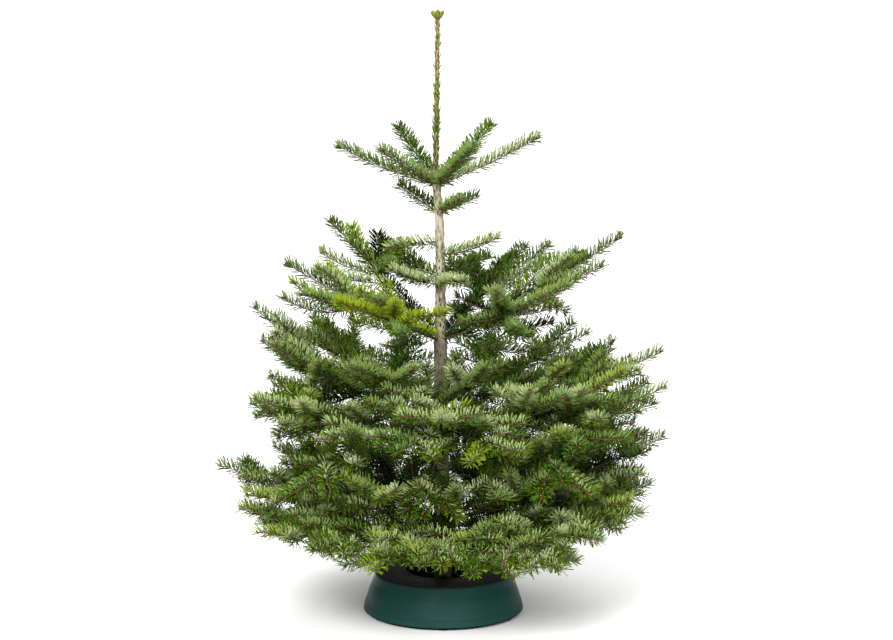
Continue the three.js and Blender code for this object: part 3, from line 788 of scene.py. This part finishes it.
# ------------------------------------------------------------------ boughs and twigs
# The old wood is grey brown and ringed with small needle scars. The last year's twigs are thin,
# smooth and orange brown. Both are round and taper outwards from the wood they grow out of.
def frames_along(line):
    """Tangent, sideways and upward directions at each point of a line."""
    tangent = np.gradient(line, axis=0)
    tangent /= np.linalg.norm(tangent, axis=1)[:, None]
    sideways = np.cross(tangent, (0.0, 0.0, 1.0))
    sideways /= np.maximum(np.linalg.norm(sideways, axis=1), 1e-6)[:, None]
    upward = np.cross(sideways, tangent)
    return tangent, sideways, upward


def finer(line, count):
    """The same line with evenly spread points, softly curved."""
    at = np.linspace(0, len(line) - 1, count)
    k = np.minimum(at.astype(int), len(line) - 2)
    f = (at - k)[:, None]
    before = line[np.maximum(k - 1, 0)]
    after = line[np.minimum(k + 2, len(line) - 1)]
    a = line[k]
    b = line[k + 1]
    slope = b - before
    second = 2 * before - 5 * a + 4 * b - after
    third = 3 * a - before - 3 * b + after
    return 0.5 * (2 * a + slope * f + second * f**2 + third * f**3)


def round_wood(line, radius_from, radius_to, sides, scar_depth=0.0, seed=0):
    """A tapering round stick along a line, closed at both ends, with scars if it is old."""
    tangent, sideways, upward = frames_along(line)
    count = len(line)
    turn = np.arange(sides) / sides * 2 * math.pi
    radius = np.linspace(radius_from, radius_to, count)[:, None] * np.ones(sides)
    ring = np.cos(turn)[None, :, None] * sideways[:, None, :]
    ring = ring + np.sin(turn)[None, :, None] * upward[:, None, :]
    if scar_depth:
        rough = noise3((line[:, None, :] + ring * radius[:, :, None]).reshape(-1, 3) * 420, seed)
        radius = radius + scar_depth * rough.reshape(count, sides)
        radius[::3] += scar_depth * 0.8
    points = line[:, None, :] + ring * radius[:, :, None]
    faces = []
    for row in range(count - 1):
        for i in range(sides):
            j = (i + 1) % sides
            a = row * sides
            faces.append((a + i, a + j, a + sides + j, a + sides + i))
    faces.append(tuple(range(sides))[::-1])
    faces.append(tuple((count - 1) * sides + i for i in range(sides)))
    return points.reshape(-1, 3), faces


bough_bark = bark(
    "bough_bark",
    [
        (0.0, (0.055, 0.038, 0.024)),
        (1.0, (0.125, 0.082, 0.046)),
        (0.35, (0.095, 0.070, 0.047)),
        (0.55, (0.125, 0.095, 0.056)),
    ],
    (0.032, 0.020, 0.013),
    0.8,
    260,
    1.0,
)
WOOD_RADIUS = {0: 0.0014, 1: 0.0021, 2: 0.0031, 3: 0.0043, 4: 0.0055}
TIERS = {
    "whorl_one": ("whorl1", "between"),
    "whorl_two": ("whorl2",),
    "whorl_three": ("whorl3",),
    "whorl_four": ("whorl4",),
}
wood_by_tier = {tier: [] for tier in TIERS}
twigs = []
for number, shoot in enumerate(shoots):
    tier = next(t for t, starts in TIERS.items() if shoot["bough"].startswith(starts))
    if shoot["age"] > 0:
        thick = WOOD_RADIUS[shoot["age"] + 1]
        thin = WOOD_RADIUS[shoot["age"]]
        line = finer(shoot["line"], max(6, int(shoot["length"] / 0.006)))
        wood_by_tier[tier].append(round_wood(line, thick, thin, 9, 0.00035, number))
    else:
        twigs.append(round_wood(finer(shoot["line"], 8), 0.0015, 0.0011, 6))
for tier, sticks in wood_by_tier.items():
    if not sticks:
        continue
    wood = make_piece(f"boughs_{tier}", sticks, [bough_bark], 60)
    stood_for = [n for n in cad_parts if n.endswith("_limb") and n.startswith(TIERS[tier])]
    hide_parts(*stood_for)

twig_skin = bpy.data.materials.new("twig_skin")
twig_skin.use_nodes = True
shader_of(twig_skin).inputs["Base Color"].default_value = (0.125, 0.062, 0.024, 1)
shader_of(twig_skin).inputs["Roughness"].default_value = 0.55
twig_piece = make_piece("twigs_of_the_year", twigs, [twig_skin], 60)


# ------------------------------------------------------------------ needles
# Flat, blunt, waxy needles, about 30 mm long, stand close round each twig and sweep forward and
# up. They are deep green above and pale silvery green below, and one bough is yellower.
NEEDLE_LENGTH = 0.031
NEEDLE_WIDTH = 0.0029
# by the age of the wood they stand on
NEEDLES_PER_METRE = {0: 1150, 1: 1050, 2: 700, 3: 250}
# the shoots near the top, with more light, carry more
CROWDING = {
    "whorl_one": 1.5,
    "whorl_two": 1.25,
    "bright_bough": 1.3,
    "whorl_three": 1.05,
    "whorl_four": 1.0,
}
GOLDEN_SECTION = 0.618034
# corners: foot, two at a third, two at the blunt end, and the raised middle
CORNERS = 6
UPPER_FACES = 5
NEEDLE_FACES = np.array(
    [
        (0, 1, 5),
        (1, 3, 5),
        (3, 4, 5),
        (4, 2, 5),
        (2, 0, 5),
        (0, 2, 1),
        (1, 2, 4),
        (1, 4, 3),
    ]
)
# the colours of the upper side and the under side
NEEDLE_TINTS = {
    # the deep tint is painted shade: near black above and below, for old shoots and those inside the
    # crown
    "deep_shaded": ((0.007, 0.018, 0.0005), (0.025, 0.042, 0.006)),
    "green": ((0.036, 0.083, 0.001), (0.135, 0.200, 0.048)),
    "fresh": ((0.070, 0.132, 0.002), (0.270, 0.340, 0.135)),
    # the lime tint is painted light: a bright yellow-green standing for lit needles
    "lit_lime": ((0.155, 0.245, 0.004), (0.215, 0.285, 0.062)),
    "yellow": ((0.135, 0.205, 0.001), (0.200, 0.262, 0.010)),
}
needle_materials = []
for tint, sides in NEEDLE_TINTS.items():
    for face, colour in zip(("upper", "under"), sides):
        material = bpy.data.materials.new(f"needle_{tint}_{face}")
        material.use_nodes = True
        shader_of(material).inputs["Base Color"].default_value = (*colour, 1)
        shader_of(material).inputs["Roughness"].default_value = 0.42 if face == "upper" else 0.6
        shader_of(material).inputs["Specular IOR Level"].default_value = 0.06
        needle_materials.append(material)


def needle_points(root, aim, face, length, width, bend):
    """The corners of many needles. Each has its root, its aim, the normal of its upper side, its
    length and width, and a bend that carries its end aside."""
    across = np.cross(aim, face)

    def corner(share, side, height):
        """A point at a share of the needle's length, across its width and above its face."""
        place = root + aim * length * share + bend * length * share**2
        return place + across * width * side + face * height

    points = [
        corner(0.0, 0.0, 0.0),
        corner(0.3, -0.46, 0.0),
        corner(0.3, 0.46, 0.0),
        corner(0.97, -0.36, 0.0),
        corner(0.97, 0.36, 0.0),
        corner(0.62, 0.0, 0.00035),
    ]
    return np.stack(points, axis=1)


def unit(vectors):
    return vectors / np.linalg.norm(vectors, axis=-1, keepdims=True)


def needles_on(shoot, crowding, numbers):
    """The corners of every needle on one shoot."""
    count = int(shoot["length"] * NEEDLES_PER_METRE[shoot["age"]] * crowding)
    if count < 4:
        return np.zeros((0, CORNERS, 3))
    line = finer(shoot["line"], 12)
    tangents, sideways, upward = frames_along(line)
    at = (np.arange(count) + 0.5 + numbers.uniform(-0.5, 0.5, count)) / count
    # old wood is bare at its foot
    if shoot["order"] == 0 and shoot["age"] >= 1:
        at = 0.10 + 0.90 * at
    place = at * (len(line) - 1)
    k = np.minimum(place.astype(int), len(line) - 2)
    f = (place - k)[:, None]
    root = line[k] * (1 - f) + line[k + 1] * f
    t = tangents[k]
    s = sideways[k]
    u = upward[k]
    # needles stand in a spiral, so their places round the twig follow the golden section
    round_twig = (np.arange(count) * GOLDEN_SECTION + numbers.normal(0, 0.02, count)) % 1.0
    hand = np.where(np.arange(count) % 2 == 0, 1.0, -1.0)
    # degrees from the top of the twig: most are swept up into a crest, and a few stay below
    roll = np.interp(round_twig, (0, 0.80, 0.801, 1), (3, 104, 108, 160))
    roll = np.radians(roll + numbers.normal(0, 4, count))
    cos_roll = np.cos(roll)[:, None]
    sin_roll = (np.sin(roll) * hand)[:, None]
    above = np.clip(cos_roll, 0, 1)
    below = np.clip(-cos_roll, 0, 1)
    outward = s * sin_roll + u * cos_roll
    # degrees from the way the twig goes: less at its tip and on its underside
    lean = 64 - 24 * at**5 - 14 * below[:, 0] + numbers.normal(0, 7, count)
    lean = np.radians(lean)[:, None]
    aim = t * np.cos(lean) + outward * np.sin(lean)
    # the upper side turns to the light: round towards the twig's top, and back down the twig
    face = u * np.abs(sin_roll) - s * cos_roll * hand[:, None]
    face += (0.3 * u - 0.6 * t) * above + 0.7 * (u + t) * below
    face += numbers.normal(0, 0.46, (count, 3))
    face = unit(face - aim * (face * aim).sum(axis=1, keepdims=True))
    # needles are shorter on top, underneath, and at both ends of the shoot
    length = NEEDLE_LENGTH * numbers.uniform(0.86, 1.06, count)
    length *= 1 - 0.16 * above[:, 0] - 0.2 * below[:, 0]
    length *= np.clip(0.6 + at * 7, 0, 1) * np.clip(0.66 + (1 - at) * 4, 0, 1)
    if shoot["age"] > 0:
        length *= 0.92
    width = NEEDLE_WIDTH * numbers.uniform(0.85, 1.1, count)
    bend = (u * 0.5 + t * 0.6) * 0.15
    return needle_points(root, aim, face, length[:, None], width[:, None], bend)


def needle_piece(name, clouds, tint_names):
    """One joined mesh of needles, two materials to each needle, dealt out by spray."""
    points = np.concatenate(clouds)
    count = len(points)
    numbers = [list(NEEDLE_TINTS).index(tint) for tint in tint_names]
    tints = np.repeat(numbers, [len(c) for c in clouds])
    faces = (np.arange(count)[:, None, None] * CORNERS + NEEDLE_FACES[None]).reshape(-1, 3)
    material = np.repeat(tints * 2, len(NEEDLE_FACES)).reshape(count, len(NEEDLE_FACES))
    material[:, UPPER_FACES:] += 1
    mesh = bpy.data.meshes.new(name)
    mesh.vertices.add(count * CORNERS)
    mesh.vertices.foreach_set("co", points.reshape(-1))
    mesh.loops.add(len(faces) * 3)
    mesh.loops.foreach_set("vertex_index", faces.reshape(-1).astype(np.int32))
    mesh.polygons.add(len(faces))
    mesh.polygons.foreach_set("loop_start", np.arange(len(faces), dtype=np.int32) * 3)
    mesh.polygons.foreach_set("material_index", material.reshape(-1).astype(np.int32))
    mesh.update(calc_edges=True)
    for one in needle_materials:
        mesh.materials.append(one)
    piece = bpy.data.objects.new(name, mesh)
    bpy.context.collection.objects.link(piece)
    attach(piece, "root")
    return piece


def spray_group(bough):
    """Which set of needle pieces a bough belongs to: its tier's, or the bright bough's own."""
    if bough == "whorl2_front_left":
        return "bright_bough"
    return next(tier for tier, starts in TIERS.items() if bough.startswith(starts))


def tint_of(shoot, group, pick):
    """The tint of a shoot's needles: old shoots and those near the trunk get painted shade, low ones
    in front get painted light, and young ones far out stay fresher.
    """
    end = shoot["line"][-1]
    out = math.hypot(end[0], end[1])
    if group == "bright_bough":
        return "yellow" if pick < 0.8 else "green"
    if group == "whorl_one":
        return "green" if pick < 0.75 else "fresh"
    # painted shade: old shoots and those close to the trunk take the near-black deep tint
    if shoot["age"] > 1 or out < 0.14:
        return "deep_shaded"
    if shoot["age"] == 1 or out < 0.25:
        return "deep_shaded" if pick < 0.62 else "green"
    # painted light: some low shoots in front take the bright lime tint
    lit_low_in_front = end[2] < 0.22 and end[1] < -0.1
    if lit_low_in_front and pick < 0.25:
        return "lit_lime"
    if pick < 0.48:
        return "green"
    return "fresh" if pick < 0.93 else "lit_lime"


NEEDLES_A_PIECE = 24000
needle_numbers = np.random.default_rng(29)
for group in (*TIERS, "bright_bough"):
    clouds = []
    tints = []
    pieces = []
    for shoot in shoots:
        if spray_group(shoot["bough"]) != group:
            continue
        cloud = needles_on(shoot, CROWDING[group], needle_numbers)
        if sum(len(c) for c in clouds) + len(cloud) > NEEDLES_A_PIECE:
            pieces.append(needle_piece(f"needles_{group}_{len(pieces) + 1}", clouds, tints))
            clouds = []
            tints = []
        tints.append(tint_of(shoot, group, needle_numbers.uniform()))
        clouds.append(cloud)
    pieces.append(needle_piece(f"needles_{group}_{len(pieces) + 1}", clouds, tints))
    stood_for = []
    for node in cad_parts:
        if node.endswith("_foliage") and node != "leader_foliage":
            if spray_group(node.removesuffix("_foliage")) == group:
                stood_for.append(node)
    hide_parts(*stood_for)


# ------------------------------------------------------------------ buds
# Each shoot ends in a plump, resinous, red brown bud, with a smaller one at each side of it.
def bud(root, along, length, radius):
    """A plump, pointed bud: three rings between its foot and its tip."""
    along = along / np.linalg.norm(along)
    helper = (0.0, 0.0, 1.0) if abs(along[2]) < 0.9 else (1.0, 0.0, 0.0)
    side = np.cross(along, helper)
    side /= np.linalg.norm(side)
    other = np.cross(side, along)
    sides = 5
    turn = np.arange(sides) / sides * 2 * math.pi
    spokes = np.cos(turn)[:, None] * side + np.sin(turn)[:, None] * other
    points = []
    for t, reach in ((0.0, 0.6), (0.45, 1.0), (1.0, 0.2)):
        points.append(root + along * length * t + radius * reach * spokes)
    faces = []
    for row in range(2):
        for i in range(sides):
            j = (i + 1) % sides
            a = row * sides
            faces.append((a + i, a + sides + i, a + sides + j, a + j))
    faces.append(tuple(range(sides)))
    faces.append(tuple(2 * sides + i for i in range(sides))[::-1])
    return np.concatenate(points), faces


bud_scales = bpy.data.materials.new("bud_scales")
bud_scales.use_nodes = True
shader_of(bud_scales).inputs["Base Color"].default_value = (0.155, 0.062, 0.033, 1)
shader_of(bud_scales).inputs["Roughness"].default_value = 0.4
# length and radius
END_BUD = (0.0062, 0.0024)
SIDE_BUD = (0.0050, 0.0019)
bud_numbers = np.random.default_rng(5)
buds = []
for shoot in shoots:
    if shoot["age"] > 0:
        continue
    end = shoot["line"][-1]
    along = shoot["line"][-1] - shoot["line"][-2]
    along /= np.linalg.norm(along)
    across = np.cross(along, (0.0, 0.0, 1.0))
    across /= np.linalg.norm(across)
    size = 0.75 + 0.5 * min(shoot["length"] / 0.2, 1.0)
    buds.append(bud(end, along, END_BUD[0] * size, END_BUD[1] * size))
    for side in (-1, 1):
        aim = along * 0.7 + across * side * 0.7 + bud_numbers.normal(0, 0.08, 3)
        buds.append(bud(end - along * 0.001, aim, SIDE_BUD[0] * size, SIDE_BUD[1] * size))
bud_piece = make_piece("buds", buds, [bud_scales], 50)


# ------------------------------------------------------------------ the leader
# The leader's needles are short and stand a little off it. A crowd of buds and short needles
# makes its blunt top, and a few single buds sit along it.
leader_numbers = np.random.default_rng(8)
UP = np.array([0.0, 0.0, 1.0])
LEADER_TOP = 1.353
GOLDEN_ANGLE = math.radians(137.508)


def stem_needles(count, low, high, open_from, open_to, short, long):
    """Needles on the trunk itself: how far they open from it, and how long they are."""
    z = np.sort(leader_numbers.uniform(low, high, count))
    turn = np.arange(count) * GOLDEN_ANGLE + leader_numbers.normal(0, 0.2, count)
    x, y, reach = trunk_axis(z)
    out = np.stack([np.cos(turn), np.sin(turn), np.zeros(count)], axis=1)
    root = np.stack([x, y, z], axis=1) + out * (reach * 0.97)[:, None]
    spread = leader_numbers.uniform(open_from, open_to, count)[:, None]
    aim = unit(UP + out * spread + leader_numbers.normal(0, 0.07, (count, 3)))
    face = out - aim * (out * aim).sum(axis=1, keepdims=True)
    length = leader_numbers.uniform(short, long, count)[:, None]
    width = np.full((count, 1), NEEDLE_WIDTH)
    return needle_points(root, aim, unit(face), length, width, out * -0.05)


leader_clouds = [
    stem_needles(140, 1.06, 1.315, 0.3, 0.8, 0.013, 0.018),
    stem_needles(90, 1.0, 1.315, 0.05, 0.3, 0.011, 0.016),
    stem_needles(110, 0.985, 1.12, 0.2, 0.7, 0.013, 0.018),
]
# the tuft: a chalice of short needles round the end buds
TUFT_NEEDLES = 64
TUFT_RADIUS = 0.0045
top_x, top_y, _ = trunk_axis(trunk_rings[-1, 0])
turn = np.arange(TUFT_NEEDLES) * GOLDEN_ANGLE
out = np.stack([np.cos(turn), np.sin(turn), np.zeros(TUFT_NEEDLES)], axis=1)
top_axis = np.array([top_x, top_y, 0.0])
height = leader_numbers.uniform(1.322, 1.335, TUFT_NEEDLES)[:, None]
root = top_axis + out * TUFT_RADIUS + UP * height
aim = unit(UP + out * leader_numbers.uniform(0.4, 1.1, TUFT_NEEDLES)[:, None])
length = np.minimum(0.019, (LEADER_TOP - root[:, 2]) / aim[:, 2])[:, None]
face = unit(out - aim * (out * aim).sum(axis=1, keepdims=True))
width = np.full((TUFT_NEEDLES, 1), NEEDLE_WIDTH)
leader_clouds.append(needle_points(root, aim, face, length, width, out * 0.05))
# the lime tints here are painted light
leader_tints = ["fresh", "lit_lime", "green", "lit_lime"]
leader_piece = needle_piece("needles_leader", leader_clouds, leader_tints)
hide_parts("leader_foliage")

trunk_clouds = [
    stem_needles(70, 0.78, 0.955, 0.0, 0.03, 0.010, 0.015),
    stem_needles(64, 0.62, 0.955, 0.2, 0.8, 0.010, 0.017),
    stem_needles(260, 0.42, 0.80, 0.0, 0.02, 0.006, 0.009),
]
# the lime tint on the upper trunk needles is painted light, and the deep tint on the inner ones
# painted shade
trunk_tints = ["lit_lime", "fresh", "deep_shaded"]
trunk_needles = needle_piece("needles_on_the_trunk", trunk_clouds, trunk_tints)

leader_buds = [bud(top_axis + UP * 1.3335, UP, 0.0155, 0.0048)]
for i in range(6):
    turn = 2 * math.pi * i / 6 + 0.3
    out = np.array([math.cos(turn), math.sin(turn), 0.0])
    start = top_axis + UP * 1.3310 + out * TUFT_RADIUS
    leader_buds.append(bud(start, out * 0.75 + UP, 0.0175, 0.0042))
for i in range(9):
    z = 1.0 + 0.034 * i + leader_numbers.uniform(-0.01, 0.01)
    x, y, radius = trunk_axis(z)
    turn = i * 2.4
    out = np.array([math.cos(turn), math.sin(turn), 0.0])
    start = np.array([x, y, z]) + out * radius * 0.9
    leader_buds.append(bud(start, out + UP * 0.9, 0.0065, 0.0024))
leader_bud_piece = make_piece("leader_buds", leader_buds, [bud_scales], 50)
